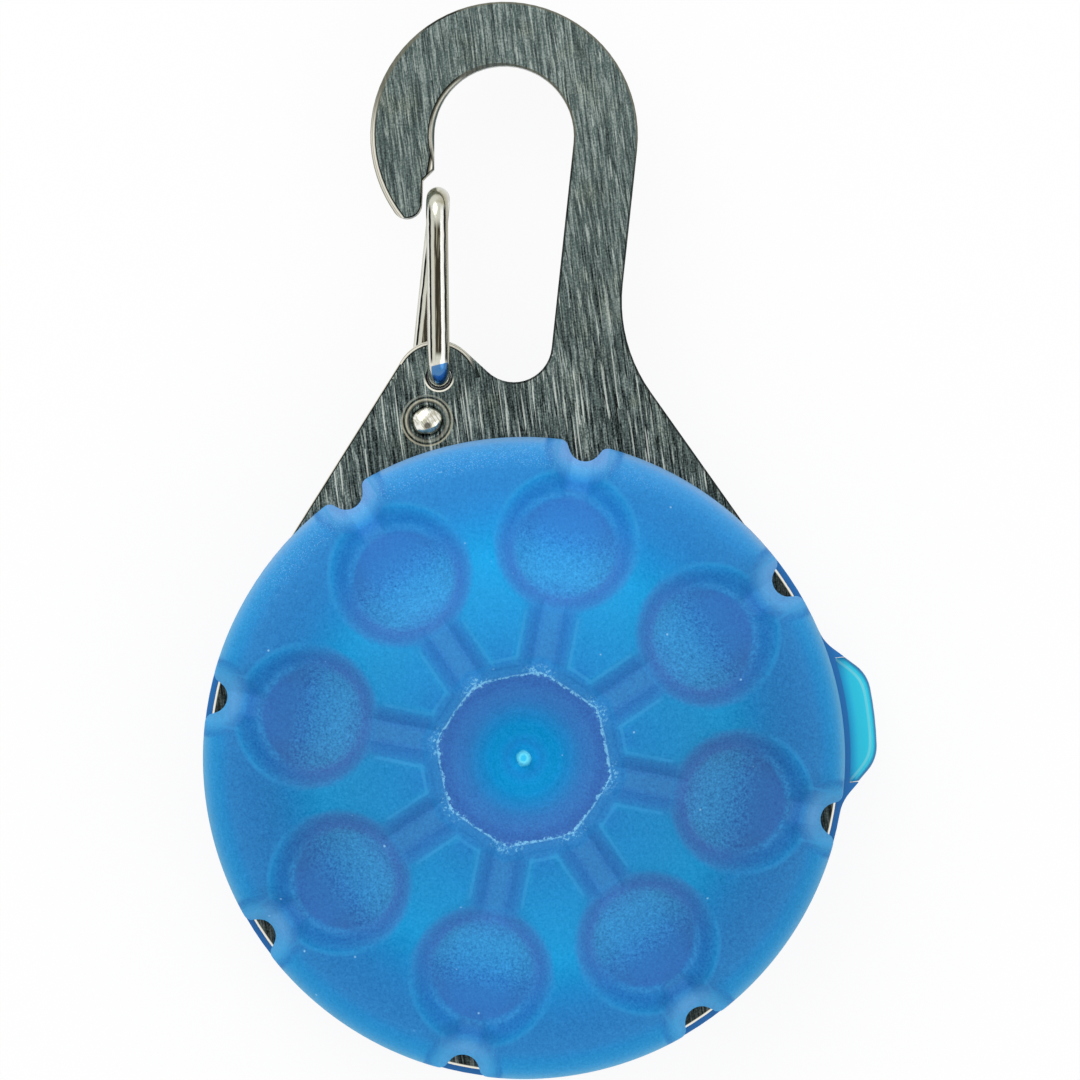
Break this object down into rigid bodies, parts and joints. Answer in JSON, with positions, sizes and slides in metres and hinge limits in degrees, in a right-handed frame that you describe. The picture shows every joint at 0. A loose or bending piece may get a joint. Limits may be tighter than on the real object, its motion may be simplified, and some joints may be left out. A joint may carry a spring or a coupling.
{
  "type": "carabiner light",
  "caption": "Round flat key light: a dimpled translucent lens and rear cover clamped on a steel hook plate with a sprung wire gate and a side push button.",
  "frame": {"origin": "centre of the rear cover's flat resting face, on the axis of the round body", "axes": "+Z out of the lens, +Y from the round body towards the hook, +X towards the side button"},
  "size_m": [0.04, 0.0638, 0.0127],
  "materials": {
    "frosted_blue_plastic": "fine frosted translucent polycarbonate",
    "clear_blue_plastic": "smooth translucent polycarbonate",
    "cyan_button_plastic": "glossy translucent push pad",
    "brushed_steel": "stainless steel, brushed lengthwise, tumbled edges",
    "polished_wire": "polished stainless spring wire",
    "black_rubber": "soft moulded rubber",
    "black_plastic": "moulded black plastic",
    "white_plastic": "moulded white plastic",
    "cell_steel": "nickel-plated pressed steel",
    "contact_brass": "sprung contact strip",
    "green_board": "solder-masked glass epoxy",
    "led_resin": "clear LED resin",
    "tan_ceramic": "ceramic chip"
  },
  "bodies": {
    "root": {"lens_cover": "frosted_blue_plastic", "front_gasket": "black_rubber", "carabiner_plate": "brushed_steel", "rear_gasket": "black_rubber", "rear_cover": "clear_blue_plastic", "gate_foot": "polished_wire", "button_seal": "black_rubber", "switch_case": "black_plastic", "rear_cell_can": "cell_steel", "rear_cell_cap": "cell_steel", "rear_cell_gasket": "white_plastic", "front_cell_can": "cell_steel", "front_cell_cap": "cell_steel", "front_cell_gasket": "white_plastic", "battery_cradle": "black_plastic", "negative_spring": "contact_brass", "positive_clip": "contact_brass", "circuit_board": "green_board", "led_base": "white_plastic", "led_dome": "led_resin", "control_chip": "black_plastic", "chip_capacitor": "tan_ceramic", "chip_resistors": "black_plastic"},
    "gate": {"gate_wire": "polished_wire"},
    "button": {"side_button": "cyan_button_plastic", "switch_plunger": "white_plastic"}
  },
  "joints": [
    {"name": "gate_pivot", "type": "hinge", "parent": "root", "child": "gate", "pos_m": [-0.00503, 0.02257, 0.0063], "axis": [0, 0, -1], "range_deg": [0, 32], "stiffness_Nm_per_rad": 0.057, "springref_deg": -8.02},
    {"name": "button_press", "type": "slide", "parent": "root", "child": "button", "axis": [-0.9934, -0.1149, 0], "range_m": [0, 0.0005], "stiffness_N_per_m": 2500, "springref_m": -0.0002}
  ]
}
